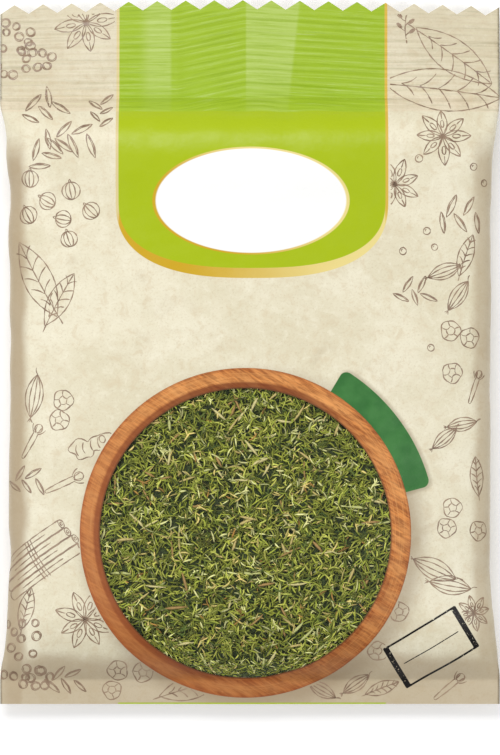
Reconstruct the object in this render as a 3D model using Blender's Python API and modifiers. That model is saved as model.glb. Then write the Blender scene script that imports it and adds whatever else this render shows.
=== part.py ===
"""A sealed pillow pouch of dried dill, lying on its back with its front up.

One web of printed film is wrapped round the fill: its two long edges meet in a fin seal down the
middle of the back, and both ends are pressed flat and sealed. The top end is a tall header, cut to
a zigzag. Inside lie the packed bulk of the dill and, on top of it behind the clear round window in
the film, loose leaf threads and stalks.

Axes: +X to the pouch's right, +Y towards the header, +Z up out of the front panel. The origin is
the middle of the outline on the surface that the pouch lies on. Metres.
"""

import functools
import math
import random

import bmesh
import bpy
import numpy as np

# The pouch, laid flat and filled.
FLAT_WIDTH = 0.250
HEIGHT = 0.352
FILLED_THICKNESS = 0.034
HEADER_HEIGHT = 0.049
BOTTOM_SEAL_HEIGHT = 0.012
HEADER_REST_HEIGHT = 0.0115
BOTTOM_SEAL_REST_HEIGHT = 0.010
FLAT_LENGTH_SHARE = 0.60
SEAL_DROOP = 0.06

# The film and its seals.
FILM_THICKNESS = 0.00015
LAYER_GAP = 0.00015
LAYER_STEP = FILM_THICKNESS + LAYER_GAP
FIN_WIDTH = 0.012
RIDGE_START_X = -0.034
RIDGE_END_X = 0.022
RIDGE_RISE_LENGTH = 0.018
RIDGE_FADE_THICKNESS = 0.004
TEETH = 17.5
TOOTH_DEPTH = 0.0045

# How the filled pouch is shaped: full through most of its length, each end with its own taper, and a
# cross-section given in shares of its width and thickness.
LENGTHWISE_POWER = 8.0
HEADER_TAPER = 0.9
BOTTOM_TAPER = 1.3
FOLD_LEVEL = 0.42
FLAT_SHARE = 0.56
CROWN_POWER = 2.5
FLANK_POWER = 1.8

# The window and what lies behind it.
WINDOW_RADIUS = 0.0725
WINDOW_CENTRE_Y = -0.0905
LOOSE_LAYER = 0.0027
LOOSE_SHARE = 0.4
LEAST_DEPTH_FOR_BITS = 0.015
PIECE_CLEARANCE = 0.0003
BIT_SPACING = 0.0205
LEAF_RADIUS = 0.00045
STALK_RADIUS = 0.00085
LEAF_LENGTHS = (0.009, 0.015)
STALK_LENGTHS = (0.012, 0.016)
MOST_CURL = 1.1
STALK_STIFFNESS = 0.2
BIT_POINTS = 6
STALK_EVERY = 6
SEED = 7

# The search for the width at each height.
LOOP_POINTS = 240
NARROWEST_SHARE = 0.8
HALVINGS = 40

# The film's mesh.
HALF_TOOTH = FLAT_WIDTH / (2 * TEETH)
FILM_ROWS_IN_BODY = 15
SEAL_ROWS = 3
SHARP_ANGLE = math.radians(50)
RESTING_DEPTH = 0.00005
FILL_SEGMENTS = 56
FILL_SIDE_MARGIN = 0.010
FILL_EDGE_ROUNDING = 0.25
FIRST_FILL_ROW = SEAL_ROWS
LAST_FILL_ROW = SEAL_ROWS + FILM_ROWS_IN_BODY - 1

BODY_LOW_Y = -HEIGHT / 2 + BOTTOM_SEAL_HEIGHT
BODY_HIGH_Y = HEIGHT / 2 - HEADER_HEIGHT
BODY_MIDDLE_Y = (BODY_LOW_Y + BODY_HIGH_Y) / 2
BODY_HALF_LENGTH = (BODY_HIGH_Y - BODY_LOW_Y) / 2


def smooth_step(value):
    """0 below 0, 1 above 1, and an even S between."""
    clipped = np.clip(value, 0.0, 1.0)
    return clipped * clipped * (3.0 - 2.0 * clipped)


def along_body(y):
    """-1 at the bottom seal's line, 0 half way and 1 at the header's line."""
    return (y - BODY_MIDDLE_Y) / BODY_HALF_LENGTH


def thickness_at(y):
    """How far the front stands off the back along the middle of the pouch."""
    place = along_body(y)
    taper = HEADER_TAPER if place > 0 else BOTTOM_TAPER
    share = min(abs(place), 1.0)
    return FILLED_THICKNESS * (1.0 - share**LENGTHWISE_POWER) ** taper


def base_at(y):
    """How far the back is lifted off the surface: nothing under the fill, more towards the seals."""
    place = along_body(y)
    rest = HEADER_REST_HEIGHT if place > 0 else BOTTOM_SEAL_REST_HEIGHT
    lift = rest * float(smooth_step((abs(place) - FLAT_LENGTH_SHARE) / (1.0 - FLAT_LENGTH_SHARE)))
    beyond = max(abs(place) - 1.0, 0.0) * BODY_HALF_LENGTH
    return lift - SEAL_DROOP * beyond


def fin_ridge(x):
    """How far the back stands over the fin seal that is folded under it, to the -X side of the root."""
    left = smooth_step((x - RIDGE_START_X) / RIDGE_RISE_LENGTH)
    right = smooth_step((RIDGE_END_X - x) / RIDGE_RISE_LENGTH)
    return 2.0 * LAYER_STEP * left * right


def flank(share):
    """The back panel's rise, from 0 on its flat middle to 1 at the side folds."""
    outside = np.clip((np.abs(share) - FLAT_SHARE) / (1.0 - FLAT_SHARE), 0.0, 1.0)
    return 1.0 - (1.0 - outside**FLANK_POWER) ** (1.0 / FLANK_POWER)


def crown(share):
    """The front panel's height over the side folds, from 1 in the middle to 0 at the folds."""
    inside = np.clip(1.0 - np.abs(share) ** CROWN_POWER, 0.0, 1.0)
    return inside ** (1.0 / CROWN_POWER)


def back_height(x, y, width):
    rise = FOLD_LEVEL * thickness_at(y) * flank(2.0 * x / width)
    return FILM_THICKNESS / 2 + base_at(y) + fin_ridge(x) + rise


def front_height(x, y, width):
    thickness = thickness_at(y)
    ridge = fin_ridge(x) * math.exp(-thickness / RIDGE_FADE_THICKNESS)
    rise = thickness * (FOLD_LEVEL + (1.0 - FOLD_LEVEL) * crown(2.0 * x / width))
    return FILM_THICKNESS / 2 + base_at(y) + ridge + LAYER_STEP + rise


def loop_at(y, width):
    """The film's middle line round the fill, from the fin's root by the +X fold and back."""
    angles = np.linspace(0.0, math.pi / 2, LOOP_POINTS)
    half = width / 2 * np.sin(angles)
    right_back = np.column_stack([half, back_height(half, y, width)])
    across = width / 2 * np.cos(np.linspace(0.0, math.pi, 2 * LOOP_POINTS))
    front = np.column_stack([across, front_height(across, y, width)])
    left_back = np.column_stack([-half, back_height(-half, y, width)])[::-1]
    return np.vstack([right_back, front, left_back])


def lengths_along(loop):
    return np.concatenate([[0.0], np.cumsum(np.linalg.norm(np.diff(loop, axis=0), axis=1))])


@functools.lru_cache(maxsize=None)
def width_at(y):
    """The width at which the film's girth stays twice its flat width."""
    narrow = FLAT_WIDTH * NARROWEST_SHARE
    wide = FLAT_WIDTH
    for _ in range(HALVINGS):
        middle = (narrow + wide) / 2
        if lengths_along(loop_at(y, middle))[-1] < 2.0 * FLAT_WIDTH:
            narrow = middle
        else:
            wide = middle
    return (narrow + wide) / 2


def half_panel_stations():
    """Distances from the fin's root to a side fold, one for each half tooth."""
    steps = int(TEETH)
    return [FLAT_WIDTH / 2 - k * HALF_TOOTH for k in range(steps, 0, -1)]


def girth_stations():
    """Distances along the film's girth of the mesh's columns, between the fin's two roots."""
    half_fold = LAYER_STEP / 2
    side = FLAT_WIDTH / 2
    right_back = half_panel_stations()
    front = [side + k * HALF_TOOTH for k in range(1, int(2 * TEETH))]
    left_back = [2 * FLAT_WIDTH - s for s in reversed(right_back)]
    folds = [side - half_fold, side + half_fold]
    far_folds = [FLAT_WIDTH + side - half_fold, FLAT_WIDTH + side + half_fold]
    return right_back + folds + front + far_folds + left_back


def film_ring(y):
    """The film's cross-section between the fin's two roots: (stations, 2)."""
    loop = loop_at(y, width_at(y))
    along = lengths_along(loop)
    placed = np.array(girth_stations()) * along[-1] / (2.0 * FLAT_WIDTH)
    return np.column_stack([np.interp(placed, along, loop[:, k]) for k in (0, 1)])


def film_section(y):
    """The whole web's cross-section, free edge to free edge, with both layers of the fin."""
    low = FILM_THICKNESS / 2 + base_at(y)
    root = LAYER_STEP
    lower_layer = [(-FIN_WIDTH, low), (-FIN_WIDTH / 2, low), (root, low), (root, low + 2 * LAYER_STEP)]
    upper_low = low + LAYER_STEP
    upper_layer = [(0.0, low + 2 * LAYER_STEP), (0.0, upper_low), (-FIN_WIDTH / 2, upper_low)]
    upper_layer += [(-FIN_WIDTH, upper_low)]
    return np.vstack([lower_layer, film_ring(y), upper_layer])


def zigzag_drop(x):
    """How far the header's cut edge lies below the tips of its teeth: a valley at -X, a tip at +X."""
    phase = (x + FLAT_WIDTH / 2) / (2 * HALF_TOOTH)
    return TOOTH_DEPTH * abs(2.0 * (phase - math.floor(phase)) - 1.0)


def film_rows():
    """The heights of the mesh's rows, bottom edge first."""
    bottom = np.linspace(-HEIGHT / 2, BODY_LOW_Y, SEAL_ROWS)
    even = np.linspace(-math.pi / 2, math.pi / 2, FILM_ROWS_IN_BODY + 2)[1:-1]
    body = BODY_MIDDLE_Y + BODY_HALF_LENGTH * np.sin(even)
    header = np.linspace(BODY_HIGH_Y, HEIGHT / 2, SEAL_ROWS)
    return np.concatenate([bottom, body, header])


@functools.lru_cache(maxsize=None)
def panels():
    """For each of the mesh's rows, the back panel's and the front panel's points, from -X to +X."""
    fold = int(TEETH) + 1
    found = []
    for y in film_rows():
        ring = film_ring(y)
        front = ring[fold : len(ring) - fold][::-1]
        back = np.vstack([ring[len(ring) - fold :], ring[:fold]])
        found.append((back, front))
    return found


def panel_height(panel, x, y):
    """The meshed film's middle height at a place on the back panel (0) or the front panel (1)."""
    rows = film_rows()
    upper = int(np.clip(np.searchsorted(rows, y), 1, len(rows) - 1))
    share = (y - rows[upper - 1]) / (rows[upper] - rows[upper - 1])
    ends = [np.interp(x, *panels()[row][panel].T) for row in (upper - 1, upper)]
    return float(ends[0] + (ends[1] - ends[0]) * share)


def steepness(panel, x, y):
    """How much longer a straight-down distance is than the same clearance square to the panel."""
    step = 0.001
    across = panel_height(panel, x + step, y) - panel_height(panel, x - step, y)
    along = panel_height(panel, x, y + step) - panel_height(panel, x, y - step)
    return math.hypot(1.0, across / (2 * step), along / (2 * step))


def plain_material(name, colour, roughness):
    material = bpy.data.materials.new(name)
    material.use_nodes = True
    shader = material.node_tree.nodes["Principled BSDF"]
    shader.inputs["Base Color"].default_value = (*colour, 1.0)
    shader.inputs["Roughness"].default_value = roughness
    shader.inputs["Metallic"].default_value = 0.0
    return material


def new_object(name, mesh, collection, material):
    made = bpy.data.objects.new(name, mesh)
    collection.objects.link(made)
    made.data.materials.append(material)
    return made


def press_flat(film):
    """Applies the film's modifier, then makes the area that it lies on exactly flat."""
    graph = bpy.context.evaluated_depsgraph_get()
    film.data = bpy.data.meshes.new_from_object(film.evaluated_get(graph))
    film.modifiers.clear()
    for vertex in film.data.vertices:
        if vertex.co.z < RESTING_DEPTH:
            vertex.co.z = 0.0


def make_film(collection, material):
    """A flat grid, one column for each station, wrapped round the fill and given its thickness."""
    rows = film_rows()
    sections = [film_section(y) for y in rows]
    columns = len(sections[0])
    body = bmesh.new()
    bmesh.ops.create_grid(body, x_segments=columns - 1, y_segments=len(rows) - 1, size=1.0)
    for vertex in body.verts:
        column = round((vertex.co.x + 1.0) / 2.0 * (columns - 1))
        row = round((vertex.co.y + 1.0) / 2.0 * (len(rows) - 1))
        x, z = sections[row][column]
        y = rows[row]
        if row == len(rows) - 1:
            y -= zigzag_drop(x)
        vertex.co = (x, y, z)
    body.normal_update()
    bmesh.ops.recalc_face_normals(body, faces=body.faces)
    mesh = bpy.data.meshes.new("pouch_film")
    body.to_mesh(mesh)
    body.free()
    film = new_object("pouch_film", mesh, collection, material)
    shell = film.modifiers.new("thickness", "SOLIDIFY")
    shell.thickness = FILM_THICKNESS
    shell.offset = 0.0
    shell.use_even_offset = True
    press_flat(film)
    film.data.shade_smooth()
    film.data.set_sharp_from_angle(angle=SHARP_ANGLE)
    return film


def make_fill(collection, material):
    """The packed bulk: a sphere whose rings are moved to the film's own rows, just inside the film."""
    rows = film_rows()
    rings = LAST_FILL_ROW - FIRST_FILL_ROW
    inset = FILM_THICKNESS / 2 + PIECE_CLEARANCE
    body = bmesh.new()
    bmesh.ops.create_uvsphere(body, u_segments=FILL_SEGMENTS, v_segments=rings, radius=1.0)
    for vertex in body.verts:
        polar = math.acos(max(-1.0, min(1.0, vertex.co.z)))
        turn = math.atan2(vertex.co.y, vertex.co.x)
        row = LAST_FILL_ROW - round(polar / math.pi * rings)
        y = rows[row]
        if row in (FIRST_FILL_ROW, LAST_FILL_ROW):
            middle = (panel_height(0, 0.0, y) + panel_height(1, 0.0, y)) / 2
            vertex.co = (0.0, y, middle)
            continue
        x = (width_at(y) / 2 - FILL_SIDE_MARGIN) * math.cos(turn)
        low = panel_height(0, x, y) + inset * steepness(0, x, y)
        high = panel_height(1, x, y) - inset * steepness(1, x, y)
        high -= min(LOOSE_LAYER * steepness(1, x, y), LOOSE_SHARE * (high - low))
        upper_share = 0.5 + 0.5 * max(-1.0, min(1.0, math.sin(turn) / FILL_EDGE_ROUNDING))
        vertex.co = (x, y, low + (high - low) * upper_share)
    body.normal_update()
    bmesh.ops.recalc_face_normals(body, faces=body.faces)
    mesh = bpy.data.meshes.new("dill_fill")
    body.to_mesh(mesh)
    body.free()
    mesh.shade_smooth()
    return new_object("dill_fill", mesh, collection, material)


def bit_places():
    """Centres of the loose pieces: a triangular lattice clipped to the window."""
    row_step = BIT_SPACING * math.sqrt(3.0) / 2.0
    usable = WINDOW_RADIUS - BIT_SPACING / 3
    rows = int(usable / row_step) + 1
    places = []
    for row in range(-rows, rows + 1):
        shift = BIT_SPACING / 2 if row % 2 else 0.0
        for column in range(-rows - 1, rows + 2):
            x = column * BIT_SPACING + shift
            y = row * row_step
            deep = thickness_at(WINDOW_CENTRE_Y + y) > LEAST_DEPTH_FOR_BITS
            if deep and math.hypot(x, y) < usable:
                places.append((x, WINDOW_CENTRE_Y + y))
    return places


def make_bit(name, centre, radius, length, curl, heading, collection, material):
    """One loose piece: a thin curved rod lying on the bulk, under the window."""
    curve = bpy.data.curves.new(name, "CURVE")
    curve.dimensions = "3D"
    curve.bevel_depth = radius
    curve.bevel_resolution = 1
    curve.use_fill_caps = True
    spline = curve.splines.new("POLY")
    spline.points.add(BIT_POINTS - 1)
    for point, share in zip(spline.points, np.linspace(-0.5, 0.5, BIT_POINTS)):
        bend = heading + curl * share
        x = centre[0] + length * share * math.cos(bend)
        y = centre[1] + length * share * math.sin(bend)
        depth = FILM_THICKNESS / 2 + PIECE_CLEARANCE + LOOSE_LAYER / 2
        z = panel_height(1, x, y) - depth * steepness(1, x, y)
        point.co = (x, y, z, 1.0)
    return new_object(name, curve, collection, material)


def make_bits(collection, leaf_material, stalk_material):
    """The loose leaf threads and, every so often, a stalk."""
    chance = random.Random(SEED)
    leaves = 0
    stalks = 0
    for index, centre in enumerate(bit_places()):
        heading = chance.uniform(0.0, math.pi)
        curl = chance.uniform(-MOST_CURL, MOST_CURL)
        if index % STALK_EVERY == STALK_EVERY - 1:
            stalks += 1
            length = chance.uniform(*STALK_LENGTHS)
            name = f"dill_stalk_{stalks:02d}"
            bend = STALK_STIFFNESS * curl
            make_bit(name, centre, STALK_RADIUS, length, bend, heading, collection, stalk_material)
        else:
            leaves += 1
            length = chance.uniform(*LEAF_LENGTHS)
            name = f"dill_leaf_{leaves:02d}"
            make_bit(name, centre, LEAF_RADIUS, length, curl, heading, collection, leaf_material)


def main():
    for old in list(bpy.data.objects):
        bpy.data.objects.remove(old)
    pouch = bpy.data.collections.new("dried_dill_pouch")
    bpy.context.scene.collection.children.link(pouch)
    film_print = plain_material("printed_film", (0.82, 0.76, 0.64), 0.35)
    packed_dill = plain_material("packed_dill", (0.13, 0.17, 0.05), 0.9)
    dill_leaf = plain_material("dill_leaf", (0.21, 0.29, 0.09), 0.85)
    dill_stalk = plain_material("dill_stalk", (0.55, 0.47, 0.22), 0.8)
    make_film(pouch, film_print)
    make_fill(pouch, packed_dill)
    make_bits(pouch, dill_leaf, dill_stalk)


main()
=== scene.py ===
"""Looks of the dried dill pouch: printed film, clear window, the print's line drawings and the herb."""

import math
import random

import bpy
import numpy as np
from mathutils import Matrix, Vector


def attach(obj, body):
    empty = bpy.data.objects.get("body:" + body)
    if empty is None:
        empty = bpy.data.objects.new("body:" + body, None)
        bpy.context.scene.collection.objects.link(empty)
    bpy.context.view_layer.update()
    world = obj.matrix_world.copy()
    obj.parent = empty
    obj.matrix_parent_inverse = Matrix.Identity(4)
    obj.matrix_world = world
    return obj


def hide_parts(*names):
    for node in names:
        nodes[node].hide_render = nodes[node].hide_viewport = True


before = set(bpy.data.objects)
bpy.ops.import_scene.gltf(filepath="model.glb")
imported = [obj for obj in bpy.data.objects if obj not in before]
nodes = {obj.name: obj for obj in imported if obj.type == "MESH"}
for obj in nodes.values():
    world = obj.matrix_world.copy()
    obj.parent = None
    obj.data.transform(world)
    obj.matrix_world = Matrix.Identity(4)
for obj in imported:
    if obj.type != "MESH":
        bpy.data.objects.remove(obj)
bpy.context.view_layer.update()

MM = 0.001

# The pouch's own sizes, in millimetres, as the CAD has them.
FLAT_WIDTH = 250.0
HEIGHT = 352.0
THICKNESS = 34.0
HEADER = 49.0
BOTTOM_SEAL = 12.0
HEADER_REST = 11.5
BOTTOM_REST = 10.0
FLAT_LENGTH_SHARE = 0.60
SEAL_DROOP = 0.06
FILM = 0.15
LAYER_STEP = 0.30
FIN_WIDTH = 12.0
TEETH = 17.5
TOOTH_DEPTH = 4.6
HALF_TOOTH = FLAT_WIDTH / (2 * TEETH)
FOLD_LEVEL = 0.42
FLAT_SHARE = 0.56
CROWN_POWER = 2.5
FLANK_POWER = 1.8
SEAL_FOOT = 119.5
HALF_WIDTH = FLAT_WIDTH / 2
BODY_LOW = -HEIGHT / 2 + BOTTOM_SEAL
BODY_HIGH = HEIGHT / 2 - HEADER
BODY_MIDDLE = (BODY_LOW + BODY_HIGH) / 2
BODY_HALF = (BODY_HIGH - BODY_LOW) / 2

# The print: the bowl's rim round the window.
BOWL = (-2.3, -90.4)
WINDOW_R = 72.3
RIM_R = 82.4

# The print: the green panel, the bare stamp and the bare label round the bowl.
PANEL_MIDDLE = 1.0
PANEL_TOP = 76.0
PANEL_POWER = 2.6
STAMP = (90.3, -147.2)
STAMP_LEAN = math.radians(31)
LABEL_R = 87.0
LABEL_TURN = math.radians(36.8)
LABEL_BOX = (34.6, 8.2, 3.6)

# The crimp's ribs climb past one crease and fall past the next, all in millimetres.
CLIMB_FROM = 36.0
CLIMB_SPAN = 34.0
RIB_CLIMB = 7.0
FALL_FROM = 2.0
FALL_SPAN = 68.0
RIB_FALL = 3.5

# How far the rows of the mesh by the cut edge, and those by each seal, are drawn together.
TEETH_REACH = 9.0
SEAL_REACH = 12.0


def smooth(value):
    clipped = np.clip(value, 0.0, 1.0)
    return clipped * clipped * (3.0 - 2.0 * clipped)


# ---------------------------------------------------------------- the film's shape


def body_place(v):
    return (v - BODY_MIDDLE) / BODY_HALF


def thickness_at(v):
    place = body_place(v)
    taper = np.where(place > 0, 0.9, 1.3)
    return THICKNESS * (1.0 - np.minimum(np.abs(place), 1.0) ** 8) ** taper


def base_at(v):
    place = np.abs(body_place(v))
    rest = np.where(body_place(v) > 0, HEADER_REST, BOTTOM_REST)
    lift = rest * smooth((place - FLAT_LENGTH_SHARE) / (1.0 - FLAT_LENGTH_SHARE))
    return lift - SEAL_DROOP * np.maximum(place - 1.0, 0.0) * BODY_HALF


def ridge(x):
    return 2 * LAYER_STEP * smooth((x + 34.0) / 18.0) * smooth((22.0 - x) / 18.0)


def back_z(x, v, width):
    share = np.clip((np.abs(2 * x / width) - FLAT_SHARE) / (1 - FLAT_SHARE), 0.0, 1.0)
    rise = 1.0 - (1.0 - share**FLANK_POWER) ** (1.0 / FLANK_POWER)
    return FILM / 2 + base_at(v) + ridge(x) + FOLD_LEVEL * thickness_at(v) * rise


def front_z(x, v, width):
    deep = thickness_at(v)
    crown = np.clip(1.0 - np.abs(2 * x / width) ** CROWN_POWER, 0.0, 1.0) ** (1.0 / CROWN_POWER)
    under = FILM / 2 + base_at(v) + LAYER_STEP + ridge(x) * np.exp(-deep / 4.0)
    return under + deep * (FOLD_LEVEL + (1.0 - FOLD_LEVEL) * crown)


def loops(v, width):
    """The film's line round the fill at each v, from the fin's root by the +X fold and back."""
    turn = np.linspace(0.0, math.pi / 2, 160)[None, :]
    v = v[:, None]
    width = width[:, None]
    half = width / 2 * np.sin(turn)
    across = width / 2 * np.cos(np.linspace(0.0, math.pi, 420))[None, :]
    other = -half[:, ::-1]
    x = np.concatenate([half, across, other], axis=1)
    z = [back_z(half, v, width), front_z(across, v, width), back_z(other, v, width)]
    return x, np.concatenate(z, axis=1)


def girths(x, z):
    step = np.hypot(np.diff(x, axis=1), np.diff(z, axis=1))
    return np.concatenate([np.zeros((len(x), 1)), np.cumsum(step, axis=1)], axis=1)


def widths(v):
    narrow = np.full(len(v), FLAT_WIDTH * 0.8)
    wide = np.full(len(v), FLAT_WIDTH)
    for _ in range(22):
        middle = (narrow + wide) / 2
        short = girths(*loops(v, middle))[:, -1] < 2 * FLAT_WIDTH
        narrow = np.where(short, middle, narrow)
        wide = np.where(short, wide, middle)
    return (narrow + wide) / 2


def noise_grid(seed, rows, columns, cell):
    """Smooth value noise from -1 to 1 on a grid, its cell given in grid steps."""
    chance = np.random.RandomState(seed)
    coarse = chance.uniform(-1, 1, (int(rows / cell) + 4, int(columns / cell) + 4))
    r = np.arange(rows) / cell + 1
    c = np.arange(columns) / cell + 1

    def weights(place):
        f = place - np.floor(place)
        return [
            (-f + 2 * f**2 - f**3) / 2,
            (2 - 5 * f**2 + 3 * f**3) / 2,
            (f + 4 * f**2 - 3 * f**3) / 2,
            (-(f**2) + f**3) / 2,
        ]

    ri = np.floor(r).astype(int)
    ci = np.floor(c).astype(int)
    tall, wide = coarse.shape
    lines = 0
    for k, weight in enumerate(weights(r)):
        lines = lines + weight[:, None] * coarse[np.clip(ri + k - 1, 0, tall - 1)]
    values = 0
    for k, weight in enumerate(weights(c)):
        values = values + weight[None, :] * lines[:, np.clip(ci + k - 1, 0, wide - 1)]
    return values


def rib_line(u, v):
    """The crimp's ribs: level on the left, past a crease they climb, and past another they gently fall."""
    climb = RIB_CLIMB * np.clip((u + CLIMB_FROM) / CLIMB_SPAN, 0, 1)
    return v - climb + RIB_FALL * np.clip((u + FALL_FROM) / FALL_SPAN, 0, 1)


def from_fold_to_fold(u):
    """How far right of the middle a place lies, on the front and on the back alike."""
    return np.where(np.abs(u) <= HALF_WIDTH, u, np.sign(u) * FLAT_WIDTH - u)


class Film:
    """The filled pouch's film as a surface over its flat coordinates, u round it and v along it."""

    STEP_U = 1.0
    STEP_V = 0.5

    def __init__(self):
        self.v = np.arange(-HEIGHT / 2, HEIGHT / 2 + 0.01, self.STEP_V)
        self.u = np.arange(-FLAT_WIDTH, FLAT_WIDTH + 0.01, self.STEP_U)
        some = np.linspace(-HEIGHT / 2, HEIGHT / 2, 353)
        width = np.interp(self.v, some, widths(some))
        x, z = loops(self.v, width)
        along = girths(x, z)
        around = FLAT_WIDTH - self.u
        self.x = np.empty((len(self.v), len(self.u)))
        self.z = np.empty_like(self.x)
        for row in range(len(self.v)):
            at = around * along[row, -1] / (2 * FLAT_WIDTH)
            self.x[row] = np.interp(at, along[row], x[row])
            self.z[row] = np.interp(at, along[row], z[row])
        self.y = np.repeat(self.v[:, None], len(self.u), axis=1)
        self.pinch_and_wrinkle()

    def pinch_and_wrinkle(self):
        rows, columns = self.x.shape
        v = self.v[:, None]
        u = self.u[None, :]
        in_header = smooth((v - SEAL_FOOT) / 3.0)
        in_bottom = smooth((BODY_LOW - 1.0 - v) / 3.0)
        body = 1 - smooth((v - BODY_HIGH + 14) / 14)
        body = body * (1 - smooth((BODY_LOW + 12 - v) / 12))
        # Crimp ribs across the header, both layers together, with a plain strip at its cut edge.
        mirrored = from_fold_to_fold(self.u) + FLAT_WIDTH
        strength = (0.70 + 0.65 * noise_grid(11, rows, columns, 22))[:, mirrored.astype(int)]
        line = rib_line(self.x, v) + 0.5 * np.sin(v / 9.0)
        ribs = np.sin(line * 2 * math.pi / 3.55) * 0.27
        ribs = (ribs + np.sin(line * 2 * math.pi / 8.1 + 1.0) * 0.16) * strength
        ribs = ribs * in_header * (1 - smooth((v - HEIGHT / 2 + 9) / 5))
        # The header bends and dips a little as loose film does.
        wave = 0.9 * np.sin((self.x + 36) / 34.0) + 0.6 * np.sin(self.x / 17.0 + v / 40.0)
        wave = wave * smooth((v - BODY_HIGH) / HEADER) * 1.3
        crease = 0.5 * np.exp(-(((self.x + 36.0 + (v - BODY_HIGH) * 0.03) / 2.2) ** 2)) * in_header
        self.z += ribs + wave + crease + 0.35 * np.sin(self.x / 21.0 + 1.0) * in_bottom
        # The cut edge isn't quite straight: its corners hang a little lower than its middle.
        sag = 3.0 * (np.abs(self.x + 8.0) / HALF_WIDTH) ** 1.6
        self.y -= sag * smooth((v - BODY_HIGH) / HEADER)
        # Puckers run out from both seals into the body, and the herb makes the rest uneven.
        top_fade = np.exp(-np.maximum(BODY_HIGH - v, 0) / 16.0) * smooth((BODY_HIGH - v) / 4.0)
        low_fade = np.exp(-np.maximum(v - BODY_LOW, 0) / 13.0) * smooth((v - BODY_LOW) / 4.0)
        spread = self.x * (1 - 0.0016 * np.maximum(BODY_HIGH - v, 0))
        pucker = np.sin(spread / 5.3 + 1.6 * np.sin(spread / 19.0))
        pucker = pucker * (0.5 + 0.5 * np.sin(spread / 31.0 + 0.7))
        low_pucker = np.sin(self.x / 4.7 + 1.3 * np.sin(self.x / 15.0))
        low_pucker = low_pucker * (0.5 + 0.5 * np.sin(self.x / 27.0))
        side = np.exp(-(((np.abs(np.abs(u) - HALF_WIDTH)) / 17.0) ** 2)) * body
        buckle = noise_grid(5, rows, columns, 30) * 0.55 * side
        lumps = noise_grid(3, rows, columns, 26) * 0.32 + noise_grid(4, rows, columns, 11) * 0.12
        rest = 1 - 0.85 * (np.abs(u) > 150) * (self.z < 4)
        push = 0.55 * pucker * top_fade + 0.4 * low_pucker * low_fade + buckle + lumps * body * rest
        normal = self.normals_of(self.x, self.y, self.z)
        self.x += push * normal[0]
        self.y += push * normal[1]
        self.z = np.maximum(self.z + push * normal[2], FILM / 2)
        self.nx, self.ny, self.nz = self.normals_of(self.x, self.y, self.z)

    def normals_of(self, x, y, z):
        du = [np.gradient(a, self.STEP_U, axis=1) for a in (x, y, z)]
        dv = [np.gradient(a, self.STEP_V, axis=0) for a in (x, y, z)]
        n = [
            du[1] * dv[2] - du[2] * dv[1],
            du[2] * dv[0] - du[0] * dv[2],
            du[0] * dv[1] - du[1] * dv[0],
        ]
        size = np.sqrt(n[0] ** 2 + n[1] ** 2 + n[2] ** 2) + 1e-9
        return [a / size for a in n]

    def at(self, u, v, off=0.0):
        """Points on the film in metres, off millimetres out of it."""
        u = np.asarray(u, float)
        v = np.asarray(v, float)
        cu = np.clip((u + FLAT_WIDTH) / self.STEP_U, 0, len(self.u) - 1.001)
        cv = np.clip((v + HEIGHT / 2) / self.STEP_V, 0, len(self.v) - 1.001)
        iu = cu.astype(int)
        iv = cv.astype(int)
        fu = cu - iu
        fv = cv - iv

        def pick(grid):
            low = grid[iv, iu] * (1 - fu) + grid[iv, iu + 1] * fu
            high = grid[iv + 1, iu] * (1 - fu) + grid[iv + 1, iu + 1] * fu
            return low * (1 - fv) + high * fv

        place = np.stack([pick(self.x), pick(self.y), pick(self.z)], axis=-1)
        out = np.stack([pick(self.nx), pick(self.ny), pick(self.nz)], axis=-1)
        return (place + out * np.asarray(off)[..., None]) * MM

    def out(self, u, v):
        return self.at(u, v, 1000.0) - self.at(u, v, 0.0)


film = Film()

# ---------------------------------------------------------------- meshes


def new_mesh(name, points, faces, flat=None, colour=None):
    mesh = bpy.data.meshes.new(name)
    mesh.from_pydata([tuple(p) for p in points], [], [tuple(f) for f in faces])
    mesh.validate()
    if flat is not None:
        layer = mesh.attributes.new("flat", "FLOAT_VECTOR", "POINT")
        layer.data.foreach_set("vector", np.asarray(flat, np.float32).ravel())
    if colour is not None:
        layer = mesh.attributes.new("tint", "FLOAT_COLOR", "POINT")
        layer.data.foreach_set("color", np.asarray(colour, np.float32).ravel())
    mesh.polygons.foreach_set("use_smooth", [True] * len(mesh.polygons))
    made = bpy.data.objects.new(name, mesh)
    bpy.context.scene.collection.objects.link(made)
    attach(made, "root")
    return made


def grid_faces(rows, columns, closed=False):
    faces = []
    last = columns if closed else columns - 1
    for r in range(rows - 1):
        for c in range(last):
            d = (c + 1) % columns
            low, high = r * columns, (r + 1) * columns
            faces.append((low + c, low + d, high + d, high + c))
    return faces


def zigzag_drop(u):
    phase = (from_fold_to_fold(u) + HALF_WIDTH) / (2 * HALF_TOOTH)
    return TOOTH_DEPTH * np.abs(2 * (phase - np.floor(phase)) - 1)


def edge_v(u, v):
    """The v of a mesh row once the cut edge has its teeth."""
    start = HEIGHT / 2 - TEETH_REACH
    share = np.clip((v - start) / TEETH_REACH, 0, 1)
    return v - zigzag_drop(u) * share


def film_rows():
    bottom = np.linspace(-HEIGHT / 2, BODY_LOW, 13)
    foot = np.linspace(BODY_LOW, BODY_LOW + SEAL_REACH, 25)[1:]
    body = np.linspace(BODY_LOW + SEAL_REACH, BODY_HIGH - SEAL_REACH, 133)[1:]
    shoulder = np.linspace(BODY_HIGH - SEAL_REACH, BODY_HIGH, 25)[1:]
    header = np.linspace(BODY_HIGH, HEIGHT / 2, 86)[1:]
    return np.concatenate([bottom, foot, body, shoulder, header])


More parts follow.
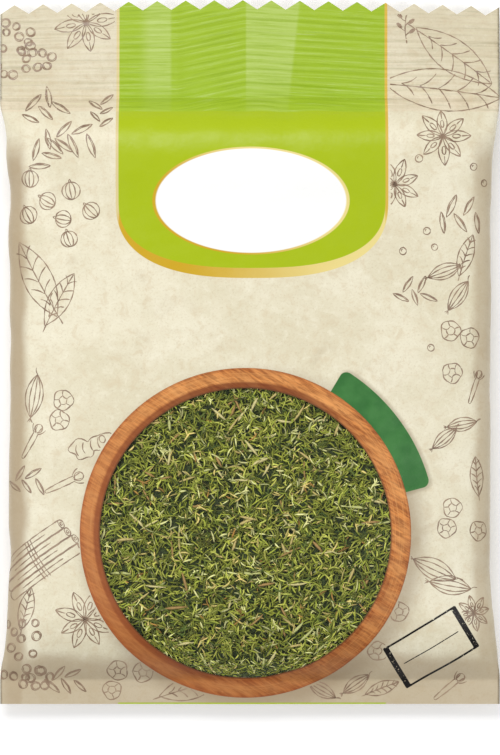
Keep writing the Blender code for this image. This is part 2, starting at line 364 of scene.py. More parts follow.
def make_film():
    rows = film_rows()
    fine = HALF_TOOTH / 4
    front = np.arange(-70, 71) * fine
    fold = [125.15, 126.2]
    side = 250 - np.arange(34, 0, -1) * HALF_TOOTH / 2
    side = side[side > 127]
    back = np.concatenate([fold, side])
    ring = np.concatenate([-back[::-1], front, back])[::-1]
    u = np.repeat(ring[None, :], len(rows), axis=0)
    v = edge_v(u, np.repeat(rows[:, None], len(ring), axis=1))
    placed = film.at(u, v)
    low = (FILM / 2 + base_at(rows)) * MM

    def layer(spots):
        out = []
        for x, lift in spots:
            by_root = np.full(len(rows), 249.0)
            across = np.full(len(rows), float(x))
            along = film.at(by_root, edge_v(across, rows))[:, 1]
            out.append(np.stack([np.full(len(rows), x * MM), along, low + lift * MM], axis=1))
        return np.stack(out, axis=1)

    step = LAYER_STEP
    first = layer([(-12, 0), (-9, 0), (-6, 0), (-3, 0), (step, 0), (step, 2 * step)])
    last = layer([(0, 2 * step), (0, step), (-3, step), (-6, step), (-9, step), (-12, step)])
    points = np.concatenate([first, placed, last], axis=1)
    fin_u = np.array([264, 261, 258, 255, 252, 250.3])
    fin_u = np.repeat(fin_u[None], len(rows), 0)
    fin_v = np.repeat(rows[:, None], fin_u.shape[1], 1)
    flat_u = np.concatenate([fin_u, u, -fin_u[:, ::-1]], axis=1)
    flat_v = np.concatenate([fin_v, v, fin_v], axis=1)
    count = points.shape[1]
    flat = np.stack([flat_u, flat_v, np.zeros_like(flat_u)], axis=-1).reshape(-1, 3)
    middle = WINDOW_R + 0.45 * (RIM_R - WINDOW_R)
    kept = []
    for face in grid_faces(len(rows), count):
        cu = sum(flat[i][0] for i in face) / 4
        cv = sum(flat[i][1] for i in face) / 4
        if math.hypot(cu - BOWL[0], cv - BOWL[1]) > middle:
            kept.append(face[::-1])
    used = sorted({i for face in kept for i in face})
    index = {old: new for new, old in enumerate(used)}
    points = points.reshape(-1, 3)[used]
    flat = flat[used]
    faces = [tuple(index[i] for i in face) for face in kept]
    return new_mesh("printed_film", points, faces, flat=flat)


def make_disc(name, inner, outer, off, rings, segments):
    """A round patch of the film about the bowl's middle, off millimetres out of it."""
    radii = np.linspace(inner, outer, rings)
    turn = np.linspace(0, 2 * math.pi, segments, endpoint=False)
    r = np.repeat(radii[:, None], segments, 1)
    t = np.repeat(turn[None], rings, 0)
    u = BOWL[0] + r * np.cos(t)
    v = BOWL[1] + r * np.sin(t)
    points = film.at(u, v, off).reshape(-1, 3)
    flat = np.stack([u, v, r], axis=-1).reshape(-1, 3)
    faces = grid_faces(rings, segments, closed=True)
    if inner < 1:
        centre = len(points)
        points = np.vstack([points, film.at(np.array([BOWL[0]]), np.array([BOWL[1]]), off)])
        flat = np.vstack([flat, [[BOWL[0], BOWL[1], 0.0]]])
        faces += [(centre, c, (c + 1) % segments) for c in range(segments)]
    return new_mesh(name, points, [f[::-1] for f in faces], flat=flat)


# ---------------------------------------------------------------- the print's line drawings


def on_panel(u, v):
    """True inside the green panel and its gold edge."""
    half = 68.5
    drop = 40.0
    across = np.clip(np.abs((u - PANEL_MIDDLE) / half), 0, 1)
    foot = PANEL_TOP - drop * (1 - across**PANEL_POWER) ** (1 / PANEL_POWER)
    return (np.abs(u - PANEL_MIDDLE) < half) & (v > foot)


def drawn_there(u, v):
    """Where the line drawings may be seen: not over the panel, the bowl, its label or the stamp."""
    reach = np.hypot(u - BOWL[0], v - BOWL[1])
    turn = np.degrees(np.arctan2(v - BOWL[1], u - BOWL[0]))
    label = (reach < 96) & (turn > 13) & (turn < 60)
    du = u - STAMP[0]
    dv = v - STAMP[1]
    along = du * math.cos(STAMP_LEAN) + dv * math.sin(STAMP_LEAN)
    over = -du * math.sin(STAMP_LEAN) + dv * math.cos(STAMP_LEAN)
    stamp = (np.abs(along) < 21.6) & (np.abs(over) < 12.5)
    return ~(on_panel(u, v) | (reach < RIM_R + 0.5) | label | stamp)


def arc(cx, cy, rx, ry, start=0, end=360, turn=0.0, count=26):
    t = np.radians(np.linspace(start, end, count))
    x = rx * np.cos(t)
    y = ry * np.sin(t)
    c, s = math.cos(turn), math.sin(turn)
    return np.stack([cx + x * c - y * s, cy + x * s + y * c], axis=1)


def bow(a, b, bend, count=14):
    """A curve from a to b that bows to its left by bend."""
    a, b = np.array(a, float), np.array(b, float)
    t = np.linspace(0, 1, count)[:, None]
    side = np.array([-(b - a)[1], (b - a)[0]])
    side = side / (np.linalg.norm(side) + 1e-9)
    return a + (b - a) * t + side * bend * 4 * t * (1 - t)


def peppercorn(chance, size):
    """A wrinkled berry: a lumpy round outline and a net of creases."""
    t = np.linspace(0, 2 * math.pi, 30)
    first = 0.05 * np.sin(3 * t + chance.uniform(0, 6))
    r = size * (1 + first + 0.04 * np.sin(5 * t + chance.uniform(0, 6)))
    lines = [np.stack([r * np.cos(t), r * np.sin(t)], axis=1)]
    turns = [k * 1.257 + 0.4 for k in range(5)]
    corners = [(0.45 * size * math.cos(turn), 0.45 * size * math.sin(turn)) for turn in turns]
    for k in range(5):
        a, b = corners[k], corners[(k + 1) % 5]
        lines.append(bow(a, b, chance.uniform(-0.1, 0.12) * size, 8))
        spoke = turns[k] + chance.uniform(-0.2, 0.2)
        rim = (0.95 * size * math.cos(spoke), 0.95 * size * math.sin(spoke))
        lines.append(bow(a, rim, 0.05 * size, 6))
    return lines


def coriander(chance, size):
    """A ribbed round seed."""
    lines = [arc(0, 0, size, size * 0.94)]
    for share in (-0.6, -0.1, 0.45):
        start = 90 if share < 0 else -90
        lines.append(arc(0, 0, abs(share) * size + 0.02, size * 0.92, start, start + 180, count=12))
    lines.append(bow((-0.12 * size, 0.93 * size), (0.04 * size, 1.28 * size), 0.04 * size, 5))
    lines.append(bow((0.14 * size, 0.92 * size), (0.04 * size, 1.28 * size), -0.04 * size, 5))
    return lines


def star(chance, size, arms=8):
    """A star-shaped seed head."""
    lines = []
    for k in range(arms):
        turn = k * 2 * math.pi / arms + chance.uniform(-0.08, 0.08)
        long = size * chance.uniform(0.86, 1.0)
        tip = np.array([math.cos(turn), math.sin(turn)]) * long
        lines += [bow((0, 0), tip, long * 0.19), bow((0, 0), tip, -long * 0.19)]
        seed = np.array([math.cos(turn), math.sin(turn)]) * long * 0.48
        lines.append(arc(seed[0], seed[1], long * 0.15, long * 0.065, turn=turn, count=14))
        lines.append(bow(seed + (tip - seed) * 0.35, tip, 0.01 * long, 5))
    lines.append(arc(0, 0, size * 0.07, size * 0.07, count=10))
    return lines


def leaf(chance, size, wide=0.36, veins=5):
    """A pointed leaf with a midrib and side veins, its stalk end at the left."""
    top = bow((-size, 0), (size, 0), size * wide, 22)
    low = bow((-size, 0), (size, 0), -size * wide, 22)
    rib = bow((-size * 1.22, -0.05 * size), (size * 0.96, 0), 0.03 * size, 18)
    lines = [top, low, rib]
    for k in range(1, veins + 1):
        x = -size + 2 * size * k / (veins + 1.4)
        reach = size * wide * 4 * ((x + size) / (2 * size)) * (1 - (x + size) / (2 * size))
        for way in (1, -1):
            end = (x + size * 0.24, way * reach * 0.86)
            lines.append(bow((x, 0.02 * size), end, -way * 0.03 * size, 8))
    return lines


def pod(chance, size):
    """A ribbed pod with a short stalk and a dry tip."""
    lines = [bow((-size, 0), (size, 0), size * w, 18) for w in (0.42, 0.2, -0.04, -0.26, -0.42)]
    lines.append(bow((size, 0), (size * 1.3, size * 0.1), 0.05 * size, 5))
    lines += [bow((-size, 0), (-size * 1.2, way * size * 0.12), 0.0, 4) for way in (-1, 0, 1)]
    return lines


def clove(chance, size):
    """A dried bud on its stem."""
    lines = [bow((-size, -0.07 * size), (size * 0.45, -0.12 * size), -0.03 * size, 12)]
    lines.append(bow((-size, 0.07 * size), (size * 0.45, 0.12 * size), 0.03 * size, 12))
    lines.append(bow((-size, -0.07 * size), (-size, 0.07 * size), 0.03 * size, 4))
    lines.append(arc(size * 0.68, 0, size * 0.22, size * 0.2, count=18))
    for way in (-1, -0.35, 0.35, 1):
        root_end = (size * 0.4, way * 0.12 * size)
        tip = (size * 0.78, way * 0.36 * size)
        lines.append(bow(root_end, tip, way * 0.05 * size, 7))
    return lines


def quill_bundle(chance, size):
    """A tied bundle of bark quills."""
    lines = []
    for k in range(4):
        y = (k - 1.5) * size * 0.24
        long = size * chance.uniform(0.9, 1.05)
        lines.append(bow((-long, y - 0.11 * size), (long, y - 0.11 * size), 0.02 * size))
        lines.append(bow((-long, y + 0.11 * size), (long, y + 0.11 * size), 0.02 * size))
        lines.append(bow((-long * 0.7, y), (long * 0.5, y + 0.02 * size), 0.015 * size, 9))
        lines.append(arc(long, y, 0.06 * size, 0.11 * size, count=14))
        lines.append(arc(long, y, 0.025 * size, 0.05 * size, count=10))
        lines.append(arc(-long, y, 0.06 * size, 0.11 * size, 90, 270, count=10))
    for x in (-0.12, -0.04, 0.04):
        lines.append(bow((x * size, -0.5 * size), (x * size + 0.05 * size, 0.5 * size), 0.04 * size, 10))
    return lines


def root(chance, size):
    """A knobbly piece of root."""
    t = np.linspace(0, 2 * math.pi, 44)
    r = size * (0.55 + 0.2 * np.cos(2 * t) + 0.12 * np.sin(3 * t + 1) + 0.06 * np.sin(7 * t))
    lines = [np.stack([r * np.cos(t) * 1.2, r * np.sin(t) * 0.9], axis=1)]
    for x in (-0.55, -0.25, 0.1, 0.42):
        lines.append(bow((x * size, -0.22 * size), (x * size + 0.08 * size, 0.24 * size), 0.07 * size, 8))
    lines.append(arc(0.62 * size, 0.1 * size, 0.12 * size, 0.16 * size, count=14))
    return lines


def seed(chance, size):
    lines = [arc(0, 0, size, size * 0.42, count=18)]
    lines.append(bow((-size, 0), (size, 0), size * 0.14, 8))
    lines.append(bow((-size, 0), (size, 0), -size * 0.12, 8))
    return lines


def boat(size):
    """A pointed seed with a line along its middle."""
    lines = [bow((-size, 0), (size, 0), size * 0.24, 12), bow((-size, 0), (size, 0), -size * 0.24, 12)]
    lines.append(bow((-size * 0.7, 0.04 * size), (size * 0.75, 0.02 * size), size * 0.10, 8))
    return lines


def seeds(chance, size):
    """A loose handful of pointed seeds."""
    lines = []
    for k in range(5):
        spot = ((k - 2) * 0.50 * size, (0.50 if k % 2 else -0.42) * size)
        turn = math.radians(55 if k % 2 else -50) + chance.uniform(-0.55, 0.55)
        lines += [moved(line, spot, turn) for line in boat(size * chance.uniform(0.60, 0.74))]
    return lines


def clump(chance, size):
    """A heap of small round berries, each drawn with a double line."""
    placed = []
    for _ in range(400):
        spot = (chance.uniform(-1, 1) * size * 0.62, chance.uniform(-1, 1) * size)
        r = chance.uniform(2.0, 2.6)
        if all(math.hypot(spot[0] - x, spot[1] - y) > 0.97 * (r + other) for x, y, other in placed):
            placed.append((spot[0], spot[1], r))
    lines = []
    for x, y, r in placed[:13]:
        lines.append(arc(x, y, r, r * 0.94, turn=chance.uniform(0, 3), count=16))
        lines.append(arc(x, y, r * 0.74, r * 0.7, 30, 330, turn=chance.uniform(0, 6), count=12))
    return lines


def sprig(chance, size):
    """A branching stalk of small seeds."""
    lines = [bow((-size, -size * 0.4), (size * 0.7, size * 0.5), size * 0.12, 16)]
    for k in range(6):
        share = 0.2 + 0.14 * k
        start = lines[0][int(share * 15)]
        turn = math.radians(25) + (0.9 if k % 2 else -0.8)
        end = start + np.array([math.cos(turn), math.sin(turn)]) * size * 0.42
        lines.append(bow(start, end, size * 0.04, 7))
        lines += [moved(line, end, turn) for line in seed(chance, size * 0.17)]
    return lines


def berry(chance, size):
    painted_glint = arc(-0.2 * size, 0.2 * size, size * 0.35, size * 0.3, 60, 250, count=8)
    return [arc(0, 0, size, size, count=18), painted_glint]


def moved(line, spot, turn):
    c, s = math.cos(turn), math.sin(turn)
    line = np.asarray(line)
    x = spot[0] + line[:, 0] * c - line[:, 1] * s
    y = spot[1] + line[:, 0] * s + line[:, 1] * c
    return np.stack([x, y], axis=1)


# Each drawing: its kind, where it is from the front's middle, its size and its turn in degrees.
DRAWINGS = [
    (clump, -118, 152, 16, 0), (clump, -107, 149, 8, 60), (star, -82, 166, 17, 10),
    (seeds, -103, 122, 8, 20), (seeds, -88, 106, 9, 0), (seeds, -101, 100, 8, 40), (seeds, -74, 120, 6, 90),
    (coriander, -110, 86, 4.4, 0), (coriander, -111, 68, 4.6, 30), (coriander, -101, 75, 4.4, 60),
    (coriander, -89, 80, 4.6, 10), (coriander, -79, 70, 4.4, 45), (coriander, -93, 66, 4.2, 80),
    (coriander, -90, 56, 4.2, 20), (leaf, -106, 36, 21, 118), (leaf, -95, 26, 15, 60),
    (pod, -108, -22, 11, 80), (peppercorn, -93, -24, 5, 0), (peppercorn, -95, -34, 5, 50),
    (clove, -109, -44, 10, 60), (root, -80, -47, 12, 20), (clove, -92, -65, 11, 25),
    (seeds, -112, -64, 7, 0),
    (quill_bundle, -106, -103, 21, 35), (star, -82, -133, 16, 25), (leaf, -112, -128, 11, 75),
    (peppercorn, -66, -159, 5, 0), (peppercorn, -53.5, -160, 5, 70), (peppercorn, -69, -169, 4.6, 30),
    (clump, -114, -148, 15, 0), (clump, -106, -163, 7, 80), (seeds, -92, -164, 7, 0),
    (leaf, -30, -168, 16, 15),
    (leaf, 102, 149, 24, -38), (leaf, 96, 131, 30, -8), (star, 96, 107, 15, 0), (star, 72, 83, 14, 22),
    (sprig, 80, 166, 10, 60), (seeds, 105, 68, 9, 0), (berry, 84, 96, 1.9, 0), (berry, 112, 92, 1.8, 0),
    (berry, 118, 84, 1.7, 0), (berry, 88, 60, 1.8, 0), (berry, 92, 52, 1.6, 0), (berry, 76, 50, 1.8, 0),
    (leaf, 108, 48, 11, 70), (pod, 97, 40, 9, 20), (pod, 104, 28, 9, 55), (seeds, 82, 30, 7, 0),
    (peppercorn, 100, 10.5, 5, 0), (peppercorn, 110, 7, 5, 60), (peppercorn, 101, -10.5, 5, 30),
    (clove, 113, -17, 9, 70), (pod, 97, -43, 8, 40), (pod, 106, -36, 8, 10), (berry, 90, 2, 1.7, 0),
    (peppercorn, 101, -77.5, 4.8, 0), (peppercorn, 98, -87.5, 4.8, 50), (peppercorn, 115, -89, 4.8, 20),
    (leaf, 114, -62, 10, 95), (pod, 92, -108, 12, -25), (pod, 100, -116, 11, -10), (star, 112, -130, 10, 12),
    (peppercorn, 74, -129, 4.8, 0), (peppercorn, 63.5, -149, 4.8, 40), (pod, 53, -166, 8, 35),
    (clove, 100, -167, 10, 40), (pod, 36, -169, 8, -30), (leaf, 66, -168, 9, 20),
    (star, -205, 90, 18, 10), (leaf, -200, 20, 24, 60), (quill_bundle, -195, -90, 22, 30),
    (peppercorn, -170, 120, 5, 0), (peppercorn, -162, 112, 5, 40), (sprig, -165, -20, 14, 40),
    (seeds, -160, -130, 9, 0), (star, 200, -110, 18, 15), (leaf, 190, 60, 26, 110), (pod, 165, 10, 12, 30),
    (coriander, 170, 110, 5, 0), (coriander, 180, 118, 5, 40), (coriander, 165, -60, 5, 10),
    (quill_bundle, 195, 130, 20, 20), (clove, 215, -30, 12, 60), (root, 165, -150, 12, 10),
]


def make_drawings():
    """Every line as a narrow ribbon of ink that lies on the film."""
    chance = random.Random(4)
    points, faces, flat = [], [], []
    ink_height = 0.05
    ink_half_width = 0.5 * 0.60
    for kind, cu, cv, size, turn in DRAWINGS:
        lines = kind(chance, size)
        for line in lines:
            line = moved(line, (cu, cv), math.radians(turn))
            along = np.concatenate([[0], np.cumsum(np.linalg.norm(np.diff(line, axis=0), axis=1))])
            if along[-1] < 0.4:
                continue
            steps = max(3, int(along[-1] / 0.8) + 1)
            at = np.linspace(0, along[-1], steps)
            path = np.stack([np.interp(at, along, line[:, k]) for k in (0, 1)], axis=1)
            wob = np.array([[chance.gauss(0, 0.035), chance.gauss(0, 0.035)] for _ in range(steps)])
            path = path + wob
            along_way = np.gradient(path, axis=0)
            side = np.stack([-along_way[:, 1], along_way[:, 0]], axis=1)
            side /= np.linalg.norm(side, axis=1)[:, None] + 1e-9
            wide = ink_half_width * (0.85 + 0.30 * np.sin(at * 0.9 + chance.uniform(0, 6)))
            wide[0] *= 0.5
            wide[-1] *= 0.5
            left = path + side * wide[:, None]
            right = path - side * wide[:, None]
            fits = (path[:, 1] > 1.2 - HEIGHT / 2) & (path[:, 1] < HEIGHT / 2 - 5.5)
            seen = drawn_there(path[:, 0], path[:, 1]) & fits
            start = len(points)
            both = np.stack([left, right], axis=1).reshape(-1, 2)
            points.extend(film.at(both[:, 0], both[:, 1], ink_height))
            flat.extend([(p[0], p[1], 0.0) for p in both])
            for k in range(steps - 1):
                if seen[k] and seen[k + 1]:
                    a = start + 2 * k
                    faces.append((a, a + 1, a + 3, a + 2))
    used = sorted({i for face in faces for i in face})
    index = {old: new for new, old in enumerate(used)}
    faces = [tuple(index[i] for i in face) for face in faces]
    points = np.array(points)[used]
    flat = np.array(flat)[used]
    return new_mesh("line_drawings", points, faces, flat=flat)


# ---------------------------------------------------------------- the herb

GREENS = [
    ((0.235, 0.270, 0.036), 26), ((0.370, 0.410, 0.060), 25), ((0.110, 0.140, 0.028), 20),
    ((0.540, 0.560, 0.120), 15), ((0.760, 0.760, 0.360), 8), ((0.740, 0.600, 0.220), 5),
    ((0.420, 0.230, 0.060), 1),
]
STALK_TINTS = [
    (0.70, 0.62, 0.28, 1), (0.60, 0.48, 0.18, 1), (0.42, 0.26, 0.09, 1), (0.56, 0.58, 0.22, 1),
]


def pick_green(chance):
    total = sum(w for _, w in GREENS)
    at = chance.uniform(0, total)
    for colour, weight in GREENS:
        at -= weight
        if at <= 0:
            break
    shade = chance.uniform(0.55, 1.35)
    lean = chance.uniform(-0.02, 0.02)
    return (max(colour[0] * shade + lean, 0.01), colour[1] * shade, colour[2] * shade * 0.9, 1.0)


class Bits:
    """Collects thin tapered threads of herb, each a bent four-sided tube."""

    RINGS = 4
    TAPER = np.array([0.45, 1.0, 0.9, 0.25])

    def __init__(self):
        self.points, self.faces, self.tints = [], [], []

    def add(self, u, v, depth, heading, length, wide, curl, pitch, tint):
        t = np.linspace(-0.5, 0.5, self.RINGS)
        bend = heading + curl * t
        step = length / (self.RINGS - 1)
        along_u = np.cumsum(np.cos(bend)) * step
        along_v = np.cumsum(np.sin(bend)) * step
        pu = u + along_u - along_u.mean()
        pv = v + along_v - along_v.mean()
        reach = np.hypot(pu - BOWL[0], pv - BOWL[1])
        if reach.max() > WINDOW_R + 3.5:
            return
        gap = thickness_at(pv) + LAYER_STEP - FILM - ridge(pu)
        wide = min(wide, 1.2 * (gap.min() - 0.25))
        least = 0.12 + 0.36 * max(wide, 0.3)
        most = np.minimum(gap - 0.12 - 0.36 * wide, 4.6)
        if (most < least).any():
            return
        pd = np.clip(depth + pitch * t * length, least, most)
        core = film.at(pu, pv, -pd)
        out = film.out(pu, pv)
        out /= np.linalg.norm(out, axis=1)[:, None]
        way = np.gradient(core, axis=0)
        way /= np.linalg.norm(way, axis=1)[:, None] + 1e-12
        side = np.cross(way, out)
        side /= np.linalg.norm(side, axis=1)[:, None] + 1e-12
        half = (0.5 * wide * MM * self.TAPER)[:, None]
        across = side * half
        tall = out * half * 0.7
        ring = np.stack([core + across, core + tall, core - across, core - tall], 1)
        start = len(self.points) * self.RINGS * 4
        self.points.append(ring.reshape(-1, 3))
        for r in range(self.RINGS - 1):
            for k in range(4):
                a = start + r * 4
                d = (k + 1) % 4
                self.faces.append((a + k, a + d, a + 4 + d, a + 4 + k))
        end = start + (self.RINGS - 1) * 4
        self.faces.append((start + 3, start + 2, start + 1, start))
        self.faces.append((end, end + 1, end + 2, end + 3))
        self.tints.append(np.tile(tint, (self.RINGS * 4, 1)))

    def build(self, name, slot):
        points = np.concatenate(self.points)
        tints = np.concatenate(self.tints)
        return new_mesh(name, points, self.faces, colour=tints)


def room_at(v):
    """How deep a bit may lie below the window, less where the pouch thins towards its bottom seal."""
    return float(np.clip(thickness_at(np.array(v)) * 0.5, 0.55, 3.6))


def scatter(chance, count, deepest, shallow, lengths, widths_mm, curl, sprigs):
    bits = Bits()
    for _ in range(count):
        reach = (WINDOW_R + 2.5) * math.sqrt(chance.random())
        turn = chance.uniform(0, 2 * math.pi)
        u = BOWL[0] + reach * math.cos(turn)
        v = BOWL[1] + reach * math.sin(turn)
        room = room_at(v)
        depth = min(shallow + (deepest - shallow) * chance.random(), room)
        heading = chance.uniform(0, 2 * math.pi)
        length = chance.uniform(*lengths)
        wide = chance.uniform(*widths_mm)
        tint = pick_green(chance)
        pitch = chance.gauss(0, 0.10)
        bits.add(u, v, depth, heading, length, wide, chance.uniform(-curl, curl), pitch, tint)
        if chance.random() < sprigs:
            for side in (1, -1, 1)[: chance.randint(1, 3)]:
                off = chance.uniform(-0.2, 0.3) * length
                bu = u + off * math.cos(heading)
                bv = v + off * math.sin(heading)
                turned = heading + side * chance.uniform(0.35, 0.9)
                short = length * chance.uniform(0.4, 0.65)
                bu += math.cos(turned) * short * 0.5
                bv += math.sin(turned) * short * 0.5
                bits.add(bu, bv, depth, turned, short, wide * 0.85, side * 0.5, pitch, tint)
    return bits


def make_herb():
    chance = random.Random(21)
    deep = scatter(chance, 3300, 3.5, 1.8, (3.5, 7.5), (0.65, 1.15), 0.9, 0.22)
    upper = scatter(chance, 3700, 2.0, 0.40, (2.6, 6.8), (0.55, 1.05), 1.1, 0.24)
    # Shorter bits lie along the window's foot, where the pouch is too thin for the others.
    for _ in range(620):
        turn = math.radians(chance.uniform(228, 312))
        reach = WINDOW_R + chance.uniform(-7.0, 1.0)
        u = BOWL[0] + reach * math.cos(turn)
        v = BOWL[1] + reach * math.sin(turn)
        heading = turn + math.pi / 2 + chance.uniform(-0.8, 0.8)
        length = chance.uniform(1.8, 4.2)
        depth = chance.uniform(0.3, 1.0)
        wide = chance.uniform(0.5, 0.85)
        curl = chance.uniform(-1, 1)
        upper.add(u, v, depth, heading, length, wide, curl, 0.0, pick_green(chance))
    stalks = Bits()
    for _ in range(110):
        reach = WINDOW_R * math.sqrt(chance.random())
        turn = chance.uniform(0, 2 * math.pi)
        u = BOWL[0] + reach * math.cos(turn)
        v = BOWL[1] + reach * math.sin(turn)
        tint = chance.choice(STALK_TINTS)
        depth = min(chance.uniform(0.6, 2.0), room_at(v))
        heading = chance.uniform(0, 7)
        length = chance.uniform(5, 12)
        wide = chance.uniform(1.0, 1.7)
        curl = chance.uniform(-0.3, 0.3)
        stalks.add(u, v, depth, heading, length, wide, curl, 0.03, tint)
    made = [deep.build("dill_leaves_lower", "dill_leaf"), upper.build("dill_leaves_upper", "dill_leaf")]
    made.append(stalks.build("dill_stalks", "dill_stalk"))
    return made


def make_packed():
    """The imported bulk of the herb: a lumpy pillow inside the film."""
    foot_rows = BODY_LOW + np.array([1.6, 2.2, 3.0, 4.0])
    rows = np.concatenate([foot_rows, np.linspace(BODY_LOW + 5.5, BODY_HIGH - 6.0, 82)])
    around = np.concatenate([np.linspace(-121, 121, 72), np.linspace(129, 371, 60)])
    around = np.where(around > FLAT_WIDTH, around - 2 * FLAT_WIDTH, around)
    points = []
    lump = random.Random(8)
    for v in rows:
        deep = float(thickness_at(np.array(v)))
        u = around
        below_front = np.clip(0.5 * deep * 0.42, 0.2, 3.7)
        under = np.where(np.abs(u) < HALF_WIDTH, below_front, min(0.6, 0.2 * deep))
        jitter = np.array([lump.uniform(0, min(0.35, 0.05 * deep)) for _ in u])
        points.append(film.at(u, np.full(len(u), v), -(under + jitter)))
    points = np.array(points)
    count = len(around)
    middles = [points[0].mean(axis=0), points[-1].mean(axis=0)]
    flat_points = np.vstack([points.reshape(-1, 3), middles])
    faces = [f[::-1] for f in grid_faces(len(rows), count, closed=True)]
    first, last = len(flat_points) - 2, len(flat_points) - 1
    base = (len(rows) - 1) * count
    for c in range(count):
        d = (c + 1) % count
        faces.append((first, c, d))
        faces.append((last, base + d, base + c))
    return new_mesh("packed_herb", flat_points, faces)


# ---------------------------------------------------------------- materials


class Nodes:
    """Builds a material's nodes, a line for each."""

    def __init__(self, name):
        self.material = bpy.data.materials.new(name)
        self.material.use_nodes = True
        self.tree = self.material.node_tree
        self.shader = self.tree.nodes["Principled BSDF"]

    def plug(self, value, socket):
        if isinstance(value, bpy.types.NodeSocket):
            self.tree.links.new(value, socket)
        elif isinstance(value, tuple) and len(value) == 3 and socket.type == "RGBA":
            socket.default_value = (*value, 1.0)
        else:
            socket.default_value = value

    def math(self, kind, a, b=0.0, clamp=False):
        node = self.tree.nodes.new("ShaderNodeMath")
        node.operation = kind
        node.use_clamp = clamp
        self.plug(a, node.inputs[0])
        self.plug(b, node.inputs[1])
        return node.outputs[0]

    def plus(self, a, b):
        return self.math("ADD", a, b)

    def minus(self, a, b, clamp=False):
        return self.math("SUBTRACT", a, b, clamp)

    def times(self, a, b):
        return self.math("MULTIPLY", a, b)

    def over(self, a, b, clamp=False):
        return self.math("DIVIDE", a, b, clamp)

    def most(self, a, b):
        return self.math("MAXIMUM", a, b)

    def power(self, a, b):
        return self.math("POWER", a, b)

    def size(self, a):
        return self.math("ABSOLUTE", a)

    def step(self, value, low, high):
        """0 below low and 1 above high; with low above high it falls instead."""
        node = self.tree.nodes.new("ShaderNodeMapRange")
        node.interpolation_type = "SMOOTHSTEP"
        self.plug(value, node.inputs["Value"])
        flip = low > high
        node.inputs["From Min"].default_value = min(low, high)
        node.inputs["From Max"].default_value = max(low, high)
        node.inputs["To Min"].default_value = 1.0 if flip else 0.0
        node.inputs["To Max"].default_value = 0.0 if flip else 1.0
        return node.outputs[0]

    def mix(self, share, a, b, kind="MIX"):
        node = self.tree.nodes.new("ShaderNodeMix")
        node.data_type = "RGBA"
        node.blend_type = kind
        self.plug(share, node.inputs[0])
        self.plug(a, node.inputs[6])
        self.plug(b, node.inputs[7])
        return node.outputs[2]

    def lay(self, under, over, value, low, high, share):
        """Lays a colour over another as value passes from low to high, up to a share of it."""
        return self.mix(self.times(self.step(value, low, high), share), under, over)

    def flat(self):
        """The film's flat coordinates, in millimetres."""
        node = self.tree.nodes.new("ShaderNodeAttribute")
        node.attribute_name = "flat"
        apart = self.tree.nodes.new("ShaderNodeSeparateXYZ")
        self.tree.links.new(node.outputs["Vector"], apart.inputs[0])
        return apart.outputs[0], apart.outputs[1], apart.outputs[2]

    def point(self, x, y, z=0.0):
        node = self.tree.nodes.new("ShaderNodeCombineXYZ")
        for value, socket in zip((x, y, z), node.inputs):
            self.plug(value, socket)
        return node.outputs[0]

    def place(self):
        node = self.tree.nodes.new("ShaderNodeTexCoord")
        return node.outputs["Object"]

    def noise(self, vector, scale, detail=3.0, rough=0.5, distort=0.0):
        node = self.tree.nodes.new("ShaderNodeTexNoise")
        self.plug(vector, node.inputs["Vector"])
        node.inputs["Scale"].default_value = scale
        node.inputs["Detail"].default_value = detail
        node.inputs["Roughness"].default_value = rough
        node.inputs["Distortion"].default_value = distort
        return node.outputs["Fac"]

    def bump(self, height, strength, distance):
        node = self.tree.nodes.new("ShaderNodeBump")
        node.inputs["Strength"].default_value = strength
        node.inputs["Distance"].default_value = distance
        self.plug(height, node.inputs["Height"])
        return node.outputs[0]

    def length(self, x, y):
        return self.math("SQRT", self.plus(self.times(x, x), self.times(y, y)))

    def set(self, name, value):
        self.plug(value, self.shader.inputs[name])

    def slanted(self, u, v, lean):
        """The same place measured along and across a slant."""
        along = self.plus(self.times(u, math.cos(lean)), self.times(v, math.sin(lean)))
        across = self.minus(self.times(v, math.cos(lean)), self.times(u, math.sin(lean)))
        return along, across

    def facing(self, turn, degrees):
        """From 1 where a turn about the bowl is this many degrees to -1 opposite."""
        return self.math("COSINE", self.minus(turn, math.radians(degrees)))


PARCHMENT = (0.715, 0.656, 0.478)
PARCHMENT_TAN = (0.470, 0.372, 0.240)
PARCHMENT_PALE = (0.805, 0.752, 0.580)
# Painted shade for the pouch's sides and foot.
SIDE_AND_FOOT_SHADE = (0.425, 0.325, 0.205)
LIME = (0.370, 0.480, 0.005)
LIME_BRIGHT = (0.410, 0.520, 0.010)
LIME_CRIMPED = (0.320, 0.475, 0.028)
GOLD = (0.580, 0.360, 0.016)
GOLD_PALE = (0.780, 0.650, 0.250)
WHITE = (0.900, 0.900, 0.890)
LABEL_GREEN = (0.034, 0.150, 0.034)
LABEL_GREEN_PALE = (0.055, 0.200, 0.050)
LABEL_SHADOW = (0.250, 0.190, 0.110)
BLACK = (0.006, 0.005, 0.005)
MOTTLE_DARK = (0.640, 0.525, 0.350)
MOTTLE_PALE = (0.860, 0.815, 0.650)
BOWL_SHADOW = (0.300, 0.215, 0.130)
EDGE_LEFT = (0.700, 0.600, 0.330)
EDGE_RIGHT = (0.640, 0.390, 0.030)
# Painted highlight and painted shade for the crimp's ribs.
CRIMP_HIGHLIGHT = (0.740, 0.800, 0.440)
CRIMP_SHADE = (0.550, 0.600, 0.500)
# Painted light for the header's steep foot.
SLOPE_PAINTED_LIGHT = (1.130, 1.110, 1.130)
WOOD_DARK = (0.330, 0.088, 0.016)
WOOD = (0.690, 0.250, 0.062)
WOOD_STREAK = (0.165, 0.036, 0.005)
WOOD_STROKE = (0.200, 0.044, 0.006)
WOOD_PALE = (0.840, 0.390, 0.130)
WOOD_RING = (0.840, 0.400, 0.135)
WOOD_LIT = (0.860, 0.450, 0.150)
WOOD_LOW = (0.185, 0.034, 0.006)
WOOD_OUTER = (0.270, 0.080, 0.028)
WOOD_WALL = (0.160, 0.034, 0.008)
WOOD_ROSY = (0.430, 0.120, 0.032)
WOOD_LIP = (0.110, 0.040, 0.014)
INK = (0.205, 0.128, 0.078)
